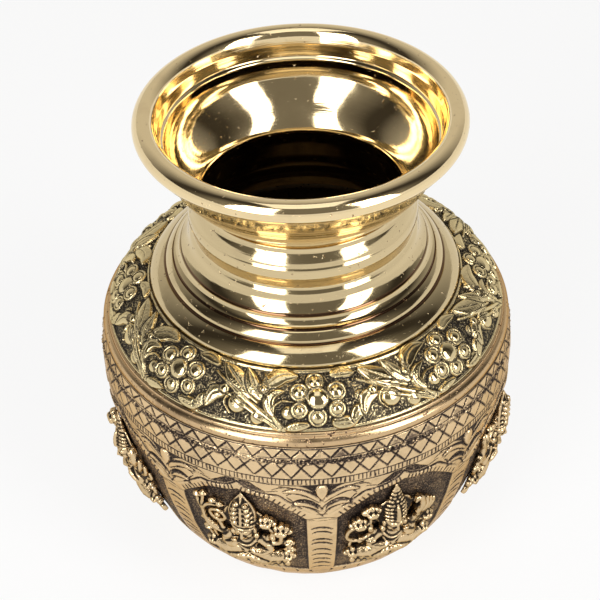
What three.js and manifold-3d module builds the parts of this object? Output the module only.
// A brass kalash: a round water pot with a wide turned mouth, a stepped collar,
// a chased shoulder and eight cast figures riveted round the belly.
// Millimetres, +Z up. The origin is the centre of the foot's flat underside.
// Every profile is a list of [radius, height] points, turned about +Z.

import * as THREE from "three";
import { mergeVertices } from "three/addons/utils/BufferGeometryUtils.js";
import Module from "manifold-3d";

const wasm = await Module();
wasm.setup();

// Sheet, joints and fasteners
const wall = 2; // thickness of the bowl, shoulder, collar and throat
const jointGap = 0.3; // clearance where one piece fits inside another
const spigotWall = 2; // thickness of each locating spigot
const spigotDepth = 6; // how far a spigot reaches into its socket

// Foot ring
const footRadius = 53;
const footRingWidth = 8;
const footSeatHeight = 4; // the bowl stands on the ring at this height
const footRegisterDepth = 1.6; // the bowl's locating rim inside the ring

// Bowl
const bowlBaseRadius = 50;
const bellyRadius = 92; // the bowl's widest
const bellyHeight = 104; // and its height above the ground
const seamInset = 2; // the seam is this much narrower than the belly
const seamRise = 15.5; // and this much higher
const bowlUpperPull = 26.3; // how far the belly stays steep
const bowlLowerPull = 29.8; // how far the underside stays shallow
const bowlUnderAngle = 5; // degrees, slope of the underside at the foot

// Bead over the seam
const beadHeight = 6;
const beadWidth = 5.5;
const beadTopInset = 3.6;

// Shoulder
const shoulderRise = 16.5; // from the bead to the collar
const shoulderBulge = 3.2; // how far the dome stands out from a straight cone
const shoulderLandWidth = 8; // flat land that carries the collar

// Collar, with its turned steps, each measured up from the one before
const collarRadius = 67.6;
const collarEdgeHeight = 4.2;
const outerStepRadius = 60.7;
const outerStepRise = 8.9;
const innerStepRadius = 54.2;
const innerStepRise = 7.4;
const waistRadius = 48.7;
const waistRise = 5.7;
const grooveDepth = 1.3;
const grooveRise = 5.8;
const ringRadius = 48.8;
const ringRise = 6.1;
const neckRadius = 44.9;
const neckRise = 10.8;

// Mouth, with its throat and rolled lip
const throatRadius = 41;
const mouthStepRadius = 57;
const mouthStepRise = 24.8; // above the neck
const mouthStepBead = 0.8;
const lipRadius = 64; // to the middle of the roll
const lipRise = 8.5; // of the middle of the roll above the step
const lipRoll = 4.8; // radius of the roll

// Sunk panels and the figures in them
const panelCount = 8;
const panelHalfWidth = 27.2;
const panelTopDrop = 11.4; // from the belly to the arch's point, along the wall
const panelLength = 68; // from the arch's point to the sill, along the wall
const panelDepth = 0.8;
// The arch: shares of the half width, and how far each lies below the arch's point.
const archOutline = [
  [0, 0],
  [0.15, 1.6],
  [0.5, 4],
  [0.8, 10.5],
  [1, 16],
];
// The raised band over each arch: shares of the half width, and how far its upper edge
// lies above the opening.
const archBandHeight = 0.45;
const archBand = [
  [0, 5.4],
  [0.2, 4.6],
  [0.5, 4.2],
  [0.8, 5.6],
];
const figureWidth = 43.4;
const figureHeight = 61;
const figureDepth = 7.4;
const figureDrop = 31.5; // from the arch's point to the figure's middle, along the wall
const figureStandoff = 1.2; // air behind the figure
const bossRadius = 3;
const rivetRadius = 1.4;
const rivetHeadRadius = 3.2;
const rivetHeadHeight = 1.5;
const rivetReach = 3.2; // how far the shank enters the figure
const rivetSpread = 10; // each rivet's distance from the figure's middle

// Flowers, stems and leaves chased on the shoulder, one set above each pillar.
// Places are degrees round from the flower and mm down the dome from the collar.
const reliefHeight = 0.8;
const reliefRoot = 0.7; // how deep each raised form starts inside the wall
const reliefSpread = 1.4; // how much wider it is at its root
const flowerPlace = [0, 11.4];
const flowerHeart = 3;
const petalCount = 5;
const petalReach = 6.4;
const petalRadius = 2.6;
const petalSides = 4;
const heartSides = 6;
const stemHalfWidth = 1;
const stemPaths = [
  [
    [-11, 22.4],
    [-19, 17.4],
    [-31.5, 7],
  ],
  [
    [-11.6, 21.2],
    [-15, 13.4],
    [-16.8, 3],
  ],
];
const leafHalfWidth = 2;
const leafFullest = 0.42; // where a leaf is widest, as a share of its length
const leafSpill = 0.08; // how far its root runs past each tip, as a share of its length
const leafRidge = 0.16; // its flat top, as a share of its length and its half width
const leafPaths = [
  [
    [-20.5, 18.2],
    [-25.6, 22.4],
  ],
  [
    [-20, 13.2],
    [-29.6, 2.6],
  ],
  [
    [-15.6, 8],
    [-8, 2.4],
  ],
];

// Heights above the ground, each from the one before
const seamRadius = bellyRadius - seamInset;
const seamHeight = bellyHeight + seamRise;
const beadTop = seamHeight + beadHeight;
const shoulderTopHeight = beadTop + shoulderRise;
const outerStepHeight = shoulderTopHeight + outerStepRise;
const innerStepHeight = outerStepHeight + innerStepRise;
const waistHeight = innerStepHeight + waistRise;
const ringLowHeight = waistHeight + grooveRise;
const ringHighHeight = ringLowHeight + ringRise;
const neckHeight = ringHighHeight + neckRise;
const mouthStepHeight = neckHeight + mouthStepRise;
const lipHeight = mouthStepHeight + lipRise;

// Faceting
const turns = 40; // facets round each turned piece
const facetSag = 0.6; // how far a facet may lie inside the true curve
const panelRows = 2;
const domeRows = 4;
const rivetSides = 6;

const brass = (color, roughness) =>
  new THREE.MeshStandardMaterial({ color, roughness, metalness: 1 });
const polishedBrass = brass(0xd9b45a, 0.12);
const chasedBrass = brass(0xb8985a, 0.32);
const castBrass = brass(0xb39a66, 0.42);
const rivetBrass = brass(0xa88a50, 0.45);

const point = ([radius, height]) => new THREE.Vector2(radius, height);

// A closed profile turned about +Z. The outline runs up its outside and down its inside.
function turned(profile) {
  const geometry = new THREE.LatheGeometry(profile.map(point), turns);
  geometry.rotateX(Math.PI / 2);
  return geometry;
}

// The same, for a ring whose profile closes on itself.
const turnedRing = (profile) => turned([...profile, profile[0]]);

// Part of a circle in the profile's plane, from one angle to another in degrees.
function arc(radius, height, size, from, to, steps) {
  return Array.from({ length: steps + 1 }, (_, i) => {
    const angle = THREE.MathUtils.degToRad(from + ((to - from) * i) / steps);
    return [radius + size * Math.cos(angle), height + size * Math.sin(angle)];
  });
}

// A hollow curve between two points, sagging to the right of the way it runs.
function cove([r0, h0], [r1, h1], sag, steps) {
  const length = Math.hypot(r1 - r0, h1 - h0);
  const side = [(h1 - h0) / length, (r0 - r1) / length];
  return Array.from({ length: steps + 1 }, (_, i) => {
    const t = i / steps;
    const depth = -sag * 4 * t * (1 - t);
    return [
      r0 + (r1 - r0) * t + side[0] * depth,
      h0 + (h1 - h0) * t + side[1] * depth,
    ];
  });
}

const solidOf = (geometry) => {
  const bare = geometry.clone();
  bare.deleteAttribute("normal");
  bare.deleteAttribute("uv");
  const merged = mergeVertices(bare, 1e-4);
  return new wasm.Manifold(
    new wasm.Mesh({
      numProp: 3,
      vertProperties: merged.attributes.position.array,
      triVerts: new Uint32Array(merged.index.array),
    }),
  );
};

const geometryOf = (solid) => {
  const mesh = solid.getMesh();
  const geometry = new THREE.BufferGeometry();
  geometry.setAttribute(
    "position",
    new THREE.BufferAttribute(mesh.vertProperties, 3),
  );
  geometry.setIndex(new THREE.BufferAttribute(mesh.triVerts, 1));
  return geometry;
};

const kalash = new THREE.Group();

function add(name, geometry, material) {
  geometry.computeVertexNormals();
  const mesh = new THREE.Mesh(geometry, material);
  mesh.name = name;
  kalash.add(mesh);
  return mesh;
}

// The bowl's outside runs down from the belly to the foot as one curve.
const underAngle = THREE.MathUtils.degToRad(bowlUnderAngle);
const bowlCurve = new THREE.CubicBezierCurve(
  new THREE.Vector2(bellyRadius, bellyHeight),
  new THREE.Vector2(bellyRadius, bellyHeight - bowlUpperPull),
  new THREE.Vector2(
    bowlBaseRadius + bowlLowerPull * Math.cos(underAngle),
    footSeatHeight + bowlLowerPull * Math.sin(underAngle),
  ),
  new THREE.Vector2(bowlBaseRadius, footSeatHeight),
);
const bowlCurveLength = bowlCurve.getLength();

// A place on the bowl, at a distance down the wall from the belly: its point and outward normal.
function bowlPlace(distance) {
  const share = THREE.MathUtils.clamp(distance / bowlCurveLength, 0, 1);
  const at = bowlCurve.getPointAt(share);
  const along = bowlCurve.getTangentAt(share);
  return { at, normal: new THREE.Vector2(-along.y, along.x) };
}

const panelTop = panelTopDrop;
const figureMiddle = panelTop + figureDrop;
const panelRadius = bowlPlace(figureMiddle).at.x;
const panelAngle = (panel) =>
  -Math.PI / 2 + ((panel + 0.5) * 2 * Math.PI) / panelCount;

// Lays a flat drawing on the bowl: x runs round it, y up the wall from the figure's middle, z outwards.
function layOnBowl(geometry, panel) {
  const positions = geometry.attributes.position;
  for (let i = 0; i < positions.count; i++) {
    const { at, normal } = bowlPlace(figureMiddle - positions.getY(i));
    const angle = panelAngle(panel) + positions.getX(i) / panelRadius;
    const radius = at.x + normal.x * positions.getZ(i);
    positions.setXYZ(
      i,
      radius * Math.cos(angle),
      radius * Math.sin(angle),
      at.y + normal.y * positions.getZ(i),
    );
  }
  return geometry;
}

// Turns a part built along +Z so that it stands square out of the bowl, at a distance up from
// the figure's middle.
function standOnBowl(geometry, panel, up) {
  const { at, normal } = bowlPlace(figureMiddle - up);
  const angle = panelAngle(panel);
  const outward = new THREE.Vector3(
    normal.x * Math.cos(angle),
    normal.x * Math.sin(angle),
    normal.y,
  );
  geometry.applyQuaternion(
    new THREE.Quaternion().setFromUnitVectors(
      new THREE.Vector3(0, 0, 1),
      outward,
    ),
  );
  return geometry.translate(
    at.x * Math.cos(angle),
    at.x * Math.sin(angle),
    at.y,
  );
}

const footInside = footRadius - footRingWidth;

function makeFootRing() {
  add(
    "foot_ring",
    turnedRing([
      [footInside, 0],
      [footRadius - 1, 0],
      [footRadius, 1],
      [footRadius - 0.4, footSeatHeight - 1],
      [footRadius - 2, footSeatHeight],
      [footInside, footSeatHeight],
    ]),
    polishedBrass,
  );
}

const seatRadius = seamRadius - beadWidth; // the bead fits round this
const socketRadius = seatRadius - wall;

function bowlProfile() {
  const steps = 11;
  const places = Array.from({ length: steps + 1 }, (_, i) =>
    bowlPlace((bowlCurveLength * (steps - i)) / steps),
  );
  const outside = places.map(({ at }) => [at.x, at.y]);
  const inside = places
    .slice(1)
    .map(({ at, normal }) => [at.x - wall * normal.x, at.y - wall * normal.y])
    .filter(([, height]) => height > footSeatHeight + wall)
    .reverse();
  const ledgeHeight = seamHeight - 2 * wall;
  const registerRadius = footInside - jointGap;
  return [
    [0, footSeatHeight],
    [registerRadius - 2 * wall, footSeatHeight],
    [registerRadius - 2 * wall, footSeatHeight - footRegisterDepth],
    [registerRadius, footSeatHeight - footRegisterDepth],
    [registerRadius, footSeatHeight],
    ...outside,
    [seamRadius, seamHeight],
    [seatRadius - jointGap, seamHeight],
    [seatRadius - jointGap, seamHeight + wall],
    [socketRadius, seamHeight + wall],
    [socketRadius, seamHeight - wall],
    [seamRadius - wall, ledgeHeight],
    ...inside,
    [0, footSeatHeight + wall],
  ];
}

// A strip through rings of corners, with its two ends closed.
function loftedStrip(rings) {
  const sides = rings[0].length;
  const faces = [];
  for (let i = 0; i < rings.length - 1; i++)
    for (let k = 0; k < sides; k++) {
      const a = i * sides + k;
      const b = i * sides + ((k + 1) % sides);
      faces.push(a, b, b + sides, a, b + sides, a + sides);
    }
  const last = (rings.length - 1) * sides;
  for (let k = 1; k < sides - 1; k++)
    faces.push(0, k + 1, k, last, last + k, last + k + 1);
  const geometry = new THREE.BufferGeometry();
  geometry.setAttribute(
    "position",
    new THREE.Float32BufferAttribute(rings.flat(2), 3),
  );
  geometry.setIndex(faces);
  return geometry;
}

// One arch-topped panel, as a slab that follows the wall.
function panelCutter(panel) {
  const sill = figureDrop - panelLength;
  const right = archOutline.map(([share, drop]) => [
    share * panelHalfWidth,
    figureDrop - drop,
  ]);
  const left = right
    .slice(1)
    .reverse()
    .map(([x, y]) => [-x, y]);
  const top = [...left, ...right];
  const vertices = [];
  const faces = [];
  const row = top.length;
  const layer = row * (panelRows + 1);
  for (const height of [-panelDepth, 2 * wall])
    for (let j = 0; j <= panelRows; j++)
      for (const [x, y] of top)
        vertices.push(x, sill + ((y - sill) * j) / panelRows, height);
  const quad = (a, b, c, d) => faces.push(a, b, c, a, c, d);
  for (let j = 0; j < panelRows; j++)
    for (let i = 0; i < row - 1; i++) {
      const a = j * row + i;
      quad(a, a + row, a + row + 1, a + 1);
      quad(a + layer, a + 1 + layer, a + row + 1 + layer, a + row + layer);
    }
  for (let i = 0; i < row - 1; i++) {
    const last = panelRows * row + i;
    quad(i, i + 1, i + 1 + layer, i + layer);
    quad(last + 1, last, last + layer, last + 1 + layer);
  }
  for (let j = 0; j < panelRows; j++) {
    const a = j * row;
    const b = a + row - 1;
    quad(a + row, a, a + layer, a + row + layer);
    quad(b, b + row, b + row + layer, b + layer);
  }
  const geometry = new THREE.BufferGeometry();
  geometry.setAttribute(
    "position",
    new THREE.Float32BufferAttribute(vertices, 3),
  );
  geometry.setIndex(faces);
  return solidOf(layOnBowl(geometry, panel));
}

// The raised band round an arch's top, before the panel is cut.
function archBandSolid(panel) {
  const openingDrop = (share) => {
    const i = archOutline.findIndex(([s]) => s >= share) || 1;
    const [[s0, d0], [s1, d1]] = [archOutline[i - 1], archOutline[i]];
    return d0 + ((d1 - d0) * (share - s0)) / (s1 - s0);
  };
  const half = archBand.map(([share, above]) => [
    share * panelHalfWidth,
    figureDrop - openingDrop(share),
    above,
  ]);
  const mirrored = half
    .slice(1)
    .reverse()
    .map(([x, y, above]) => [-x, y, above]);
  const rings = [...mirrored, ...half].map(([x, y, above]) => [
    [x, y - 1, -reliefRoot],
    [x, y + above, -reliefRoot],
    [x, y + above - 0.5, archBandHeight],
    [x, y - 1, archBandHeight],
  ]);
  return solidOf(layOnBowl(loftedStrip(rings), panel));
}

function rivetHole(panel, up) {
  const hole = new THREE.CylinderGeometry(
    rivetRadius + jointGap,
    rivetRadius + jointGap,
    6 * wall,
    6,
  );
  return solidOf(standOnBowl(hole.rotateX(Math.PI / 2), panel, up));
}

const panels = Array.from({ length: panelCount }, (_, i) => i);
const rivetPlaces = [rivetSpread, -rivetSpread];

function makeBowl() {
  let bowl = solidOf(turned(bowlProfile()));
  for (const panel of panels) {
    bowl = bowl.add(archBandSolid(panel));
    bowl = bowl.subtract(panelCutter(panel));
    for (const up of rivetPlaces) bowl = bowl.subtract(rivetHole(panel, up));
  }
  add("bowl", geometryOf(bowl), chasedBrass);
}

function makeBead() {
  const outer = seamRadius + 0.4;
  add(
    "belly_bead",
    turnedRing([
      [seatRadius, seamHeight],
      [outer - 0.6, seamHeight],
      [outer, seamHeight + beadHeight * 0.2],
      [outer - beadTopInset * 0.25, seamHeight + beadHeight * 0.55],
      [outer - beadTopInset * 0.6, beadTop - beadHeight * 0.12],
      [outer - beadTopInset, beadTop],
      [seatRadius, beadTop],
    ]),
    polishedBrass,
  );
}

const landRadius = collarRadius + 0.6;
const landInside = landRadius - shoulderLandWidth;

// A place on the dome, at a distance down from the collar.
function domePlace(dome, down) {
  let left = down;
  for (let i = dome.length - 1; i > 0; i--) {
    const [r1, h1] = dome[i];
    const [r0, h0] = dome[i - 1];
    const length = Math.hypot(r1 - r0, h1 - h0);
    if (left <= length || i === 1) {
      const share = left / length;
      return {
        radius: r1 + (r0 - r1) * share,
        height: h1 + (h0 - h1) * share,
        outward: [(h1 - h0) / length, (r0 - r1) / length],
      };
    }
    left -= length;
  }
}

// Lays a form on the dome. Its corners are mm round from and down from a place in degrees and mm.
function layOnDome(rings, dome, pillar, [degrees, down]) {
  const turn = panelAngle(pillar - 0.5) + THREE.MathUtils.degToRad(degrees);
  return rings.map((ring) =>
    ring.map(([x, y, z]) => {
      const { radius, height, outward } = domePlace(dome, down + y);
      const angle = turn + x / radius;
      const away = radius + z * outward[0];
      return [
        away * Math.cos(angle),
        away * Math.sin(angle),
        height + z * outward[1],
      ];
    }),
  );
}

// A low round boss, wider at its root than on top.
function bossRings(x, y, radius, sides) {
  const ring = (size, z) =>
    Array.from({ length: sides }, (_, i) => {
      const turn = (2 * Math.PI * i) / sides;
      return [x + size * Math.cos(turn), y - size * Math.sin(turn), z];
    });
  return [
    ring(radius * reliefSpread, -reliefRoot),
    ring(radius * 0.5, reliefHeight),
  ];
}

// A leaf is a four-sided point on a kite, and a stem is a ridge that narrows along its path.
function leafRings(from, to, dome) {
  const radius = domePlace(dome, from[1]).radius;
  const across = THREE.MathUtils.degToRad(to[0] - from[0]) * radius;
  const along = to[1] - from[1];
  const length = Math.hypot(across, along);
  const [dx, dy] = [across / length, along / length];
  const root = leafHalfWidth * reliefSpread;
  const at = (share, side, z) => [
    across * share - dy * side,
    along * share + dx * side,
    z,
  ];
  return [
    [
      at(-leafSpill, 0, -reliefRoot),
      at(leafFullest, root, -reliefRoot),
      at(1 + leafSpill, 0, -reliefRoot),
      at(leafFullest, -root, -reliefRoot),
    ],
    [
      at(leafFullest - leafRidge, 0, reliefHeight),
      at(leafFullest, leafHalfWidth * leafRidge, reliefHeight),
      at(leafFullest + leafRidge, 0, reliefHeight),
      at(leafFullest, -leafHalfWidth * leafRidge, reliefHeight),
    ],
  ];
}

function stemRings(path, dome) {
  const [start] = path;
  const radius = domePlace(dome, start[1]).radius;
  const flat = path.map(([degrees, down]) => [
    THREE.MathUtils.degToRad(degrees - start[0]) * radius,
    down - start[1],
  ]);
  return flat.map(([x, y], i) => {
    const [x0, y0] = flat[Math.max(i - 1, 0)];
    const [x1, y1] = flat[Math.min(i + 1, flat.length - 1)];
    const length = Math.hypot(x1 - x0, y1 - y0);
    const half = stemHalfWidth * reliefSpread * (1 - (0.6 * i) / flat.length);
    const [sx, sy] = [(-(y1 - y0) / length) * half, ((x1 - x0) / length) * half];
    return [
      [x - sx, y - sy, -reliefRoot],
      [x, y, reliefHeight * 0.7],
      [x + sx, y + sy, -reliefRoot],
    ];
  });
}

function flowerAndLeaves(dome, pillar) {
  const lay = (rings, place) =>
    solidOf(loftedStrip(layOnDome(rings, dome, pillar, place)));
  const forms = [lay(bossRings(0, 0, flowerHeart, heartSides), flowerPlace)];
  for (let i = 0; i < petalCount; i++) {
    const turn = (2 * Math.PI * i) / petalCount;
    const x = petalReach * Math.sin(turn);
    const y = -petalReach * Math.cos(turn);
    forms.push(lay(bossRings(x, y, petalRadius, petalSides), flowerPlace));
  }
  for (const [from, to] of leafPaths)
    forms.push(lay(leafRings(from, to, dome), from));
  for (const path of stemPaths) forms.push(lay(stemRings(path, dome), path[0]));
  return forms;
}

function makeShoulder() {
  const low = [seamRadius - beadTopInset, beadTop + jointGap];
  const high = [landRadius, shoulderTopHeight];
  const dome = cove(low, high, -shoulderBulge, domeRows);
  const inner = dome.map(([r, h]) => [r - wall * 0.7, h - wall * 0.8]);
  inner.shift();
  inner.pop();
  inner.reverse();
  const seat = seamHeight + wall;
  const spigotRadius = socketRadius - jointGap;
  const plain = solidOf(
    turnedRing([
      [seatRadius - jointGap, seat],
      [seatRadius - jointGap, beadTop + jointGap],
      ...dome,
      [landInside, shoulderTopHeight],
      [landInside, shoulderTopHeight - wall],
      [landRadius - wall, shoulderTopHeight - wall],
      ...inner,
      [spigotRadius - spigotWall, beadTop],
      [spigotRadius - spigotWall, seat - spigotDepth],
      [spigotRadius, seat - spigotDepth],
      [spigotRadius, seat],
    ]),
  );
  const reliefs = panels.flatMap((pillar) => flowerAndLeaves(dome, pillar));
  add(
    "shoulder",
    geometryOf(wasm.Manifold.union([plain, ...reliefs])),
    chasedBrass,
  );
}

const neckSocketRadius = throatRadius + spigotWall + jointGap;

function makeCollar() {
  const spigotRadius = landInside - jointGap;
  const edgeTop = shoulderTopHeight + collarEdgeHeight;
  add(
    "collar",
    turnedRing([
      [spigotRadius, shoulderTopHeight - spigotDepth],
      [spigotRadius, shoulderTopHeight],
      [collarRadius - 0.5, shoulderTopHeight],
      [collarRadius, shoulderTopHeight + 0.8],
      [collarRadius, edgeTop - 1.6],
      [collarRadius - 1.2, edgeTop - 0.3],
      ...cove(
        [collarRadius - 2, edgeTop],
        [outerStepRadius, outerStepHeight - 0.9],
        -0.5,
        2,
      ),
      [outerStepRadius - 0.2, outerStepHeight],
      ...cove(
        [outerStepRadius - 0.9, outerStepHeight],
        [innerStepRadius, innerStepHeight - 1],
        1.1,
        3,
      ),
      [innerStepRadius - 0.1, innerStepHeight],
      ...cove(
        [innerStepRadius - 0.8, innerStepHeight],
        [waistRadius, waistHeight],
        0.9,
        2,
      ),
      [waistRadius - grooveDepth, (waistHeight + ringLowHeight) / 2],
      [ringRadius, ringLowHeight],
      [ringRadius - 0.2, ringHighHeight],
      ...cove(
        [ringRadius - 0.9, ringHighHeight + 0.5],
        [neckRadius, neckHeight],
        -1.1,
        3,
      ),
      [neckSocketRadius, neckHeight],
      [neckSocketRadius, ringLowHeight],
      [waistRadius - 1.8 * wall, waistHeight - wall],
      [innerStepRadius - wall, innerStepHeight - 2 * wall],
      [spigotRadius - spigotWall, shoulderTopHeight + wall],
      [spigotRadius - spigotWall, shoulderTopHeight - spigotDepth],
    ]),
    polishedBrass,
  );
}

function makeMouth() {
  const spigotRadius = throatRadius + spigotWall;
  // The throat is a quarter bowl between the neck and the step inside the mouth.
  const throat = new THREE.CubicBezierCurve(
    new THREE.Vector2(throatRadius, neckHeight - 3),
    new THREE.Vector2(throatRadius + 2, neckHeight + 4),
    new THREE.Vector2(mouthStepRadius, mouthStepHeight - 15),
    new THREE.Vector2(mouthStepRadius, mouthStepHeight - 1),
  );
  const throatSteps = 5;
  const inside = throat.getSpacedPoints(throatSteps).reverse();
  const outside = [];
  for (let i = 2; i <= throatSteps; i++) {
    const at = throat.getPointAt(i / throatSteps);
    const along = throat.getTangentAt(i / throatSteps);
    outside.push([at.x + wall * along.y, at.y - wall * along.x]);
  }
  add(
    "mouth_rim",
    turnedRing([
      [throatRadius, neckHeight - spigotDepth],
      [spigotRadius, neckHeight - spigotDepth],
      [spigotRadius, neckHeight],
      [neckRadius - 0.1, neckHeight],
      ...outside,
      ...arc(lipRadius, lipHeight, lipRoll, -130, 160, 8),
      [lipRadius - lipRoll - 0.8, lipHeight - 1],
      [mouthStepRadius + 0.9, mouthStepHeight + 1.6],
      [mouthStepRadius - mouthStepBead * 0.6, mouthStepHeight + 1],
      [mouthStepRadius - mouthStepBead, mouthStepHeight],
      ...inside.map(({ x, y }) => [x, y]),
    ]),
    polishedBrass,
  );
}

// Shapes that the figures are built from. All are laid out flat, x across, y up, z outwards.
function ball(x, y, z, rx, ry, rz, around = 6, down = 4) {
  const geometry = new THREE.SphereGeometry(1, around, down);
  return solidOf(geometry.scale(rx, ry, rz).translate(x, y, z));
}

function rod(from, to, startRadius, endRadius, sides = 5) {
  const a = new THREE.Vector3(...from);
  const b = new THREE.Vector3(...to);
  const geometry = new THREE.CylinderGeometry(
    endRadius,
    startRadius,
    a.distanceTo(b),
    sides,
  );
  const turn = new THREE.Quaternion().setFromUnitVectors(
    new THREE.Vector3(0, 1, 0),
    b.clone().sub(a).normalize(),
  );
  geometry.applyQuaternion(turn);
  const middle = a.add(b).multiplyScalar(0.5);
  return solidOf(geometry.translate(middle.x, middle.y, middle.z));
}

function disc(x, y, z, radius, thickness, sides = 8) {
  const geometry = new THREE.CylinderGeometry(radius, radius, thickness, sides);
  geometry.rotateX(Math.PI / 2);
  return solidOf(geometry.translate(x, y, z));
}

// The drawing's own size. It is stretched to the figure's width, height and depth.
const drawnWidth = 43.4;
const drawnHeight = 50.7;
const drawnDepth = 7.4;

// A seated, crowned figure on a lotus, with four arms. The upper hands hold lotus flowers.
// The lower hands change from panel to panel.
function figureParts(variant) {
  const parts = [
    ball(0, -20.5, 2.4, 15.5, 4.2, 3.4, 8, 3), // lotus seat
    ball(-8, -14.5, 3, 9.5, 3.8, 3.4), // right leg
    ball(8, -14.5, 3, 9.5, 3.8, 3.4), // left leg
    ball(0, -4.5, 2.6, 6, 10.5, 3.4), // body
    ball(0, 9.5, 3.4, 4.2, 5, 3.8), // head
    rod([0, 11.5, 3], [0, 26, 2.2], 4.5, 0.6), // crown
    disc(0, 9.5, 1, 9.2, 1.6), // halo
  ];
  for (const side of [-1, 1]) {
    const raised = (variant + (side > 0 ? 1 : 0)) % 2;
    const [out, ...upAndOver] = raised ? [12.5, -4, 3] : [9, -9.5, 4];
    parts.push(
      rod([side * 3, 1, 3], [side * out, ...upAndOver], 2.3, 1.7),
      rod([side * 3, 2, 2.6], [side * 14.6, 8, 2.4], 2.1, 1.5),
      ball(side * 14.8, 9.5, 2.4, 3.3, 3.6, 2.4, 5, 3), // lotus flower
      rod([side * 13, -19, 2.2], [side * 18.6, -7, 2], 2, 1.6),
      ball(side * 18.8, -6.5, 2.2, 2.9, 3.2, 2.4, 5, 3), // stem's bud
    );
  }
  return parts;
}

function makeFigure(panel) {
  const variant = panel % (panelCount / 2);
  const drawn = geometryOf(wasm.Manifold.union(figureParts(variant)));
  drawn.scale(
    figureWidth / drawnWidth,
    figureHeight / drawnHeight,
    figureDepth / drawnDepth,
  );
  drawn.translate(0, 0, figureStandoff);
  let whole = solidOf(drawn);
  const bossHeight = figureStandoff + jointGap + 1;
  for (const up of rivetPlaces)
    whole = whole.add(disc(0, up, bossHeight / 2, bossRadius, bossHeight, 6));
  let figure = solidOf(layOnBowl(geometryOf(whole), panel));
  for (const up of rivetPlaces) {
    const depth = figureStandoff + rivetReach + jointGap;
    const hole = new THREE.CylinderGeometry(
      rivetRadius + jointGap,
      rivetRadius + jointGap,
      2 * depth,
      6,
    );
    figure = figure.subtract(
      solidOf(standOnBowl(hole.rotateX(Math.PI / 2), panel, up)),
    );
  }
  add(`figure_${panel + 1}`, geometryOf(figure), castBrass);
}

// A rivet's head lies inside the bowl and its shank runs out through the wall into the figure.
function makeRivet(panel, up, letter) {
  const under = -wall - facetSag - jointGap;
  const shankEnd = figureStandoff + rivetReach;
  const profile = [
    [0, under - rivetHeadHeight],
    [rivetHeadRadius * 0.7, under - rivetHeadHeight * 0.8],
    [rivetHeadRadius, under],
    [rivetRadius, under],
    [rivetRadius, shankEnd],
    [0, shankEnd],
  ];
  const geometry = new THREE.LatheGeometry(profile.map(point), rivetSides);
  geometry.rotateX(Math.PI / 2);
  standOnBowl(geometry, panel, up);
  add(`rivet_${panel + 1}${letter}`, geometry, rivetBrass);
}

makeFootRing();
makeBowl();
makeBead();
makeShoulder();
makeCollar();
makeMouth();
for (const panel of panels) {
  makeFigure(panel);
  makeRivet(panel, rivetSpread, "a");
  makeRivet(panel, -rivetSpread, "b");
}

export default kalash;
